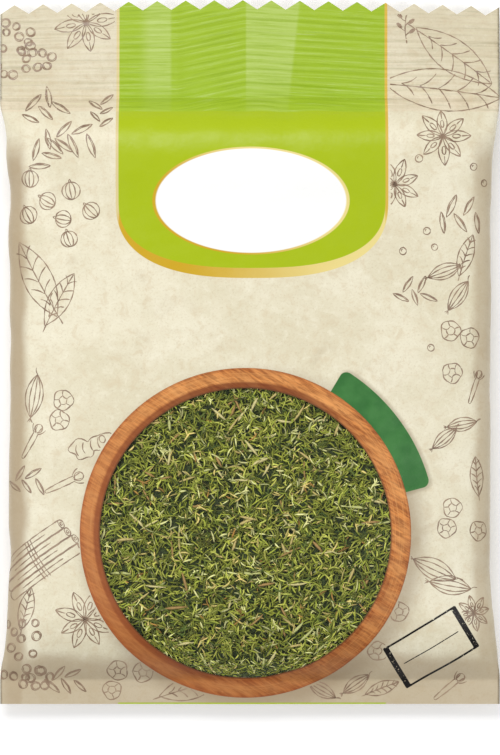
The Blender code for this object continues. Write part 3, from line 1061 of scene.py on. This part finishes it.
INK_FADED = (0.360, 0.250, 0.165)
HERB_SHADE = (0.075, 0.105, 0.030)
HERB_BROWN = (0.300, 0.190, 0.070)
PACKED_DEEP = (0.018, 0.026, 0.008)
PACKED = (0.085, 0.125, 0.032)
PACKED_BROWN = (0.150, 0.120, 0.045)
CLEAR_FILM = (0.985, 0.985, 0.980, 1.0)


def round_bottom(n, u, v, half, drop):
    """How far out a place lies in the panel with the rounded bottom, below 1 inside it."""
    across = n.over(n.size(n.minus(u, PANEL_MIDDLE)), half)
    down = n.over(n.most(n.minus(PANEL_TOP, v), 0.0), drop)
    together = n.plus(n.power(across, PANEL_POWER), n.power(down, PANEL_POWER))
    return n.power(together, 1.0 / PANEL_POWER)


def boxed(n, a, b, half_a, half_b, corner):
    """The distance outside a rounded box, in millimetres."""
    qa = n.minus(n.size(a), half_a - corner)
    qb = n.minus(n.size(b), half_b - corner)
    away = n.length(n.most(qa, 0.0), n.most(qb, 0.0))
    inside = n.math("MINIMUM", n.most(qa, qb), 0.0)
    return n.minus(n.plus(away, inside), corner)


def parchment(n, u, v):
    spot = n.point(u, v)
    cloud = n.step(n.noise(spot, 0.022, 4.0, 0.6, 0.4), 0.36, 0.66)
    base = n.mix(cloud, PARCHMENT, PARCHMENT_PALE)
    base = n.lay(base, PARCHMENT_TAN, n.noise(spot, 0.045, 5.0, 0.65, 0.8), 0.55, 0.75, 0.32)
    base = n.lay(base, PARCHMENT_TAN, n.noise(spot, 0.9, 5.0, 0.7), 0.50, 0.70, 0.34)
    mottle = n.noise(spot, 0.17, 6.0, 0.72, 0.6)
    base = n.lay(base, MOTTLE_DARK, mottle, 0.50, 0.66, 0.42)
    base = n.lay(base, MOTTLE_PALE, mottle, 0.48, 0.34, 0.40)
    fibre = n.noise(n.point(n.times(u, 0.25), v), 1.8, 3.0, 0.6)
    return n.lay(base, PARCHMENT_PALE, fibre, 0.5, 0.8, 0.10)


def film_material():
    n = Nodes("printed_film_look")
    u, v, _ = n.flat()
    colour = parchment(n, u, v)
    # Painted shade: the parchment is darkened towards the pouch's sides and foot, where the film curves away
    # from the light, more on the left than on the right.
    wander = n.times(n.minus(n.noise(n.point(u, v), 0.03, 3.0), 0.5), 9.0)
    edge = n.plus(n.size(u), wander)
    painted_shade = n.times(n.step(edge, 109.5, 116.0), n.step(v, 112.0, 92.0))
    painted_shade = n.times(painted_shade, n.minus(1.0, n.times(n.step(edge, 120.0, 124.5), 0.20)))
    painted_shade = n.times(painted_shade, n.plus(0.58, n.times(n.step(u, 60.0, -60.0), 0.26)))
    foot = n.times(n.step(n.plus(v, wander), -148.0, -157.0), 0.66)
    painted_shade = n.most(painted_shade, foot)
    colour = n.mix(painted_shade, colour, SIDE_AND_FOOT_SHADE)
    # Crimped film is duller; painted shade and painted highlights run along its ribs, and painted glints lie
    # in bands across them.
    sealed = n.step(v, SEAL_FOOT - 0.3, SEAL_FOOT + 0.7)
    climb = n.times(n.over(n.plus(u, CLIMB_FROM), CLIMB_SPAN, clamp=True), RIB_CLIMB)
    fall = n.times(n.over(n.plus(u, FALL_FROM), FALL_SPAN, clamp=True), RIB_FALL)
    rib = n.plus(n.minus(v, climb), fall)
    streak = n.noise(n.point(n.times(u, 0.035), rib), 0.85, 4.0, 0.7)
    rib_shade = n.times(n.times(n.step(streak, 0.50, 0.34), 0.34), sealed)
    rib_highlight = n.times(n.times(n.step(streak, 0.54, 0.70), 0.22), sealed)
    painted_glint = n.times(n.step(u, -57.0, -49.0), n.step(u, -38.5, -40.5))
    tilted = n.plus(u, n.times(n.minus(HEIGHT / 2, v), 0.11))
    painted_glint = n.most(painted_glint, n.times(n.step(u, -2.6, -1.4), n.step(tilted, 26.0, 24.0)))
    painted_glint = n.times(painted_glint, n.plus(0.35, n.times(n.step(streak, 0.36, 0.62), 0.65)))
    low_fade = n.plus(0.35, n.times(n.step(v, 124.0, 140.0), 0.65))
    painted_glint = n.times(n.times(painted_glint, low_fade), n.times(sealed, 0.24))
    colour = n.mix(n.times(sealed, 0.32), colour, PARCHMENT_TAN)
    front = n.step(n.size(u), 125.6, 124.6)
    # The bowl's soft shadow on the parchment.
    du = n.minus(u, BOWL[0] + 4.0)
    dv = n.minus(v, BOWL[1] - 4.0)
    shade = n.times(n.step(n.length(du, dv), RIM_R + 9.0, RIM_R - 4.0), 0.62)
    colour = n.mix(n.times(shade, front), colour, BOWL_SHADOW)
    # The panel: its gold edge, which is paler on the left, and its green.
    side = n.size(n.minus(u, PANEL_MIDDLE))
    gold = n.step(round_bottom(n, u, v, 67.7, 39.4), 1.003, 0.997)
    green = n.step(round_bottom(n, u, v, 66.3, 34.4), 1.003, 0.997)
    sheen = n.step(n.plus(u, n.times(n.noise(n.point(u, v), 0.05), 12.0)), -30.0, 62.0)
    gold_colour = n.mix(sheen, GOLD, GOLD_PALE)
    straight = n.times(n.step(side, 65.8, 66.4), n.step(v, 58.0, 72.0))
    straight_colour = n.mix(n.step(u, -20.0, 20.0), EDGE_LEFT, EDGE_RIGHT)
    gold_colour = n.mix(n.times(straight, 0.85), gold_colour, straight_colour)
    band = n.times(n.step(v, 104.0, 112.0), n.step(v, 120.5, 119.5))
    green_colour = n.mix(n.times(band, 0.55), LIME, LIME_BRIGHT)
    cloud = n.noise(n.point(u, v), 0.04, 3.0, 0.5)
    green_colour = n.lay(green_colour, LIME_BRIGHT, cloud, 0.4, 0.65, 0.18)
    green_colour = n.mix(n.times(sealed, 0.85), green_colour, LIME_CRIMPED)
    panel = n.mix(green, gold_colour, green_colour)
    # The oval, left bare, with its gold edge.
    ou = n.minus(u, 0.5)
    ov = n.minus(v, 75.0)
    oval = n.length(n.over(ou, 49.0), n.over(ov, 26.8))
    oval_inside = n.step(oval, 0.975, 0.955)
    oval_edge = n.step(oval, 1.004, 0.994)
    edge_colour = n.mix(n.step(n.plus(ou, ov), -40.0, 30.0), GOLD, GOLD_PALE)
    panel = n.mix(oval_edge, panel, edge_colour)
    panel = n.mix(oval_inside, panel, WHITE)
    colour = n.mix(n.times(gold, front), colour, panel)
    # Painted light: the steep foot of the header, turned from the lamps, is brightened.
    slope_light = n.times(sealed, n.step(v, BODY_HIGH + 0.8, BODY_HIGH - 0.6))
    colour = n.mix(slope_light, colour, n.mix(1.0, colour, SLOPE_PAINTED_LIGHT, "MULTIPLY"))
    # The painted shade and highlights along the ribs, and the painted glints, laid over the colour.
    colour = n.mix(rib_shade, colour, n.mix(1.0, colour, CRIMP_SHADE, "MULTIPLY"))
    colour = n.mix(n.most(rib_highlight, painted_glint), colour, CRIMP_HIGHLIGHT)
    # A hair of the next print's green at the lower cut.
    hair = n.times(n.step(v, -175.1, -175.5), n.step(side, 67.5, 66.5))
    colour = n.mix(n.times(hair, front), colour, LIME)
    # The curved label beside the bowl, left bare.
    bu = n.minus(u, BOWL[0])
    bv = n.minus(v, BOWL[1])
    reach = n.length(bu, bv)
    turn = n.math("ARCTAN2", bv, bu)
    around = n.times(n.minus(turn, LABEL_TURN), LABEL_R + 2.0)
    label = boxed(n, around, n.minus(reach, LABEL_R), *LABEL_BOX)
    label_on = n.times(n.step(label, 0.12, -0.12), front)
    shadow = boxed(n, n.plus(around, 0.8), n.minus(reach, LABEL_R + 0.8), *LABEL_BOX)
    shadow = n.times(n.times(n.step(shadow, 1.8, -0.5), 0.45), front)
    colour = n.mix(shadow, colour, LABEL_SHADOW)
    cloud = n.step(n.noise(n.point(u, v), 0.08), 0.35, 0.7)
    label_colour = n.mix(cloud, LABEL_GREEN, LABEL_GREEN_PALE)
    colour = n.mix(label_on, colour, label_colour)
    # The stamped frame, left bare: thick worn ends, thin worn sides and a thin line across the middle.
    su = n.minus(u, STAMP[0])
    sv = n.minus(v, STAMP[1])
    sa, sb = n.slanted(su, sv, STAMP_LEAN)
    frame_in = n.step(boxed(n, sa, sb, 21.2, 12.0, 0.8), 0.1, -0.1)
    hole = n.step(boxed(n, sa, sb, 18.3, 11.0, 0.5), 0.1, -0.1)
    frame_line = n.minus(frame_in, hole, clamp=True)
    middle = n.times(n.step(n.size(sb), 0.32, 0.18), n.step(n.size(sa), 16.0, 15.5))
    ink = n.most(frame_line, middle)
    worn = n.step(n.noise(n.point(u, v), 0.75, 4.0, 0.65), 0.33, 0.40)
    ink = n.times(n.times(ink, worn), front)
    colour = n.mix(ink, colour, BLACK)
    n.set("Base Color", colour)
    # Satin film: a little scuffed, slightly duller where it has been crimped.
    spot = n.point(u, v)
    scuff = n.noise(spot, 0.10, 4.0, 0.6)
    rough = n.plus(0.30, n.times(n.step(scuff, 0.35, 0.75), 0.14))
    crimped = n.times(sealed, 0.06)
    n.set("Roughness", n.plus(rough, crimped))
    n.set("Specular IOR Level", 0.22)
    fin = n.step(n.size(u), 249.0, 251.0)
    crimps = n.math("SINE", n.times(v, 3.1))
    height = n.plus(n.noise(spot, 0.16, 3.0, 0.55), n.times(n.noise(spot, 1.1, 3.0, 0.5), 0.10))
    height = n.plus(height, n.times(n.times(crimps, fin), 0.25))
    n.set("Normal", n.bump(height, 0.35, 0.0006))
    return n.material


def rim_material():
    """The printed wooden rim: fine slanted grain, a lit crown and a shaded inner wall."""
    n = Nodes("printed_rim_look")
    u, v, r = n.flat()
    a, b = n.slanted(u, v, math.radians(-32))
    grain = n.noise(n.point(n.times(a, 0.10), b), 0.62, 4.0, 0.62, 0.25)
    fine = n.noise(n.point(n.times(a, 0.12), b), 1.35, 3.0, 0.6)
    broad = n.noise(n.point(n.times(a, 0.2), b), 0.16, 2.0, 0.5)
    colour = n.mix(n.step(grain, 0.34, 0.66), WOOD_DARK, WOOD)
    colour = n.lay(colour, WOOD_STREAK, fine, 0.48, 0.66, 0.60)
    colour = n.lay(colour, WOOD_PALE, broad, 0.42, 0.68, 0.45)
    bu = n.minus(u, BOWL[0])
    bv = n.minus(v, BOWL[1])
    turn = n.math("ARCTAN2", bv, bu)
    across = n.noise(n.point(b, n.times(a, 0.30)), 0.42, 3.0, 0.6, 0.3)
    colour = n.lay(colour, WOOD_STROKE, across, 0.50, 0.64, 0.55)
    ring = n.noise(n.point(n.times(turn, 2.2), n.times(r, 1.6)), 1.0, 3.0, 0.6)
    colour = n.lay(colour, WOOD_RING, ring, 0.48, 0.64, 0.30)
    lit = n.times(n.plus(n.facing(turn, 215), 1.0), 0.5)
    crown = n.times(n.step(r, 73.5, 77.5), n.step(r, 82.6, 78.8))
    colour = n.mix(n.times(crown, n.plus(0.10, n.times(lit, 0.24))), colour, WOOD_LIT)
    colour = n.lay(colour, WOOD_LOW, n.facing(turn, 258), -0.45, 1.0, 0.50)
    colour = n.lay(colour, WOOD_OUTER, r, 80.8, 82.6, 0.50)
    up_left = n.times(n.plus(n.facing(turn, 150), 1.0), 0.5)
    wall = n.times(n.step(r, 76.2, 74.8), n.step(up_left, 0.16, 0.62))
    colour = n.mix(n.times(wall, 0.78), colour, WOOD_WALL)
    colour = n.lay(colour, WOOD_ROSY, n.facing(turn, 190), 0.0, 1.0, 0.34)
    colour = n.lay(colour, WOOD_LIP, r, 73.4, 72.5, 0.75)
    n.set("Base Color", colour)
    spot = n.point(u, v)
    n.set("Roughness", n.plus(0.30, n.times(n.noise(spot, 0.12, 3.0), 0.18)))
    n.set("Specular IOR Level", 0.22)
    n.set("Normal", n.bump(n.noise(spot, 0.16, 3.0, 0.55), 0.35, 0.0006))
    return n.material


def ink_material():
    n = Nodes("sketch_ink_look")
    u, v, _ = n.flat()
    fade = n.step(n.noise(n.point(u, v), 0.14, 3.0, 0.6), 0.30, 0.70)
    colour = n.mix(fade, INK, INK_FADED)
    n.set("Base Color", colour)
    n.set("Roughness", n.plus(0.32, n.times(fade, 0.12)))
    return n.material


def window_material():
    """Clear film: almost all see-through, with the gloss of the web."""
    n = Nodes("clear_window_look")
    u, v, _ = n.flat()
    gloss = n.tree.nodes.new("ShaderNodeBsdfGlossy")
    scuff = n.noise(n.point(u, v), 0.10, 4.0, 0.6)
    n.plug(n.plus(0.16, n.times(scuff, 0.12)), gloss.inputs["Roughness"])
    n.plug(n.bump(n.noise(n.point(u, v), 0.12, 3.0, 0.5), 0.3, 0.0006), gloss.inputs["Normal"])
    clear = n.tree.nodes.new("ShaderNodeBsdfTransparent")
    clear.inputs["Color"].default_value = CLEAR_FILM
    both = n.tree.nodes.new("ShaderNodeMixShader")
    both.inputs[0].default_value = 0.016
    n.tree.links.new(clear.outputs[0], both.inputs[1])
    n.tree.links.new(gloss.outputs[0], both.inputs[2])
    output = n.tree.nodes["Material Output"]
    n.tree.links.new(both.outputs[0], output.inputs["Surface"])
    n.tree.nodes.remove(n.shader)
    return n.material


def herb_material(name, dull):
    """Dried leaf or stalk: each piece's own tint, streaked along and browned in places."""
    n = Nodes(name)
    tint = n.tree.nodes.new("ShaderNodeAttribute")
    tint.attribute_name = "tint"
    place = n.place()
    mottle = n.noise(place, 900.0, 3.0, 0.6)
    colour = n.lay(tint.outputs["Color"], HERB_SHADE, mottle, 0.52, 0.72, 0.40)
    colour = n.lay(colour, HERB_BROWN, n.noise(place, 260.0, 2.0, 0.5), 0.60, 0.76, 0.15)
    n.set("Base Color", colour)
    n.set("Roughness", n.plus(dull, n.times(mottle, 0.2)))
    n.set("Specular IOR Level", 0.30)
    n.set("Normal", n.bump(mottle, 0.4, 0.0002))
    return n.material


def packed_material():
    n = Nodes("packed_herb_look")
    place = n.place()
    strand = n.noise(place, 700.0, 5.0, 0.7, 1.5)
    colour = n.mix(n.step(strand, 0.40, 0.64), PACKED_DEEP, PACKED)
    colour = n.lay(colour, PACKED_BROWN, n.noise(place, 340.0, 3.0, 0.6), 0.58, 0.72, 0.5)
    n.set("Base Color", colour)
    n.set("Roughness", n.plus(0.82, n.times(strand, 0.12)))
    n.set("Normal", n.bump(strand, 0.8, 0.0008))
    return n.material


def floor_material():
    n = Nodes("floor_look")
    n.set("Base Color", (0.96, 0.96, 0.96))
    n.set("Roughness", 0.6)
    n.set("Emission Color", (1.0, 1.0, 1.0))
    n.set("Emission Strength", 0.11)
    return n.material


# ---------------------------------------------------------------- the whole


def dress(piece, material):
    piece.data.materials.clear()
    piece.data.materials.append(material)
    return piece


def area_light(name, place, target, size, power, colour=(1, 1, 1)):
    data = bpy.data.lights.new(name, "AREA")
    data.shape = "RECTANGLE"
    data.size, data.size_y = size
    data.energy = power
    data.color = colour
    made = bpy.data.objects.new(name, data)
    bpy.context.scene.collection.objects.link(made)
    made.location = place
    made.rotation_euler = (Vector(target) - Vector(place)).to_track_quat("-Z", "Y").to_euler()
    return made


def set_stage():
    floor_mesh = bpy.data.meshes.new("floor")
    half = 6.0
    corners = [(-half, -half, 0), (half, -half, 0), (half, half, 0), (-half, half, 0)]
    floor_mesh.from_pydata(corners, [], [(0, 1, 2, 3)])
    floor = bpy.data.objects.new("floor", floor_mesh)
    bpy.context.scene.collection.objects.link(floor)
    floor_mesh.materials.append(floor_material())
    floor.location.z = -0.0002
    world = bpy.data.worlds.new("studio")
    bpy.context.scene.world = world
    world.use_nodes = True
    world.node_tree.nodes["Background"].inputs["Color"].default_value = (1.0, 1.0, 1.0, 1.0)
    world.node_tree.nodes["Background"].inputs["Strength"].default_value = 0.42
    area_light("key", (-0.25, 1.0, 1.45), (0, 0, 0), (1.0, 0.7), 15.5)
    area_light("fill_right", (0.85, -0.35, 1.5), (0, 0, 0), (0.6, 0.8), 5.5)
    area_light("fill_left", (-0.95, -0.35, 1.4), (0, 0, 0), (0.6, 0.8), 6.5)
    bpy.context.scene.view_settings.view_transform = "Standard"
    bpy.context.scene.view_settings.look = "None"


def set_camera():
    far = 3.0
    seal = 0.010
    tall = 0.3775
    data = bpy.data.cameras.new("camera")
    data.sensor_fit = "VERTICAL"
    data.sensor_height = 24.0
    data.lens = 24.0 * (far - seal) / tall
    data.clip_start = 0.1
    data.clip_end = 60.0
    made = bpy.data.objects.new("camera", data)
    bpy.context.scene.collection.objects.link(made)
    made.location = (0.0, -0.01275, far)
    made.rotation_euler = (0.0, 0.0, 0.0)
    bpy.context.scene.camera = made


set_camera()
set_stage()

printed = dress(make_film(), film_material())
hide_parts("pouch_film")
dress(make_disc("printed_rim", WINDOW_R, RIM_R, 0.09, 12, 256), rim_material())
dress(make_disc("clear_window", 0.5, WINDOW_R + 4.6, 0.0, 60, 192), window_material())
dress(make_drawings(), ink_material())
herb = make_herb()
leaf_look = herb_material("dill_leaf_look", 0.62)
for piece in herb[:2]:
    dress(piece, leaf_look)
dress(herb[2], herb_material("dill_stalk_look", 0.56))
packed = dress(make_packed(), packed_material())
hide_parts("dill_fill")
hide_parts(*sorted(name for name in nodes if name.startswith("dill_leaf")))
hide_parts(*sorted(name for name in nodes if name.startswith("dill_stalk")))
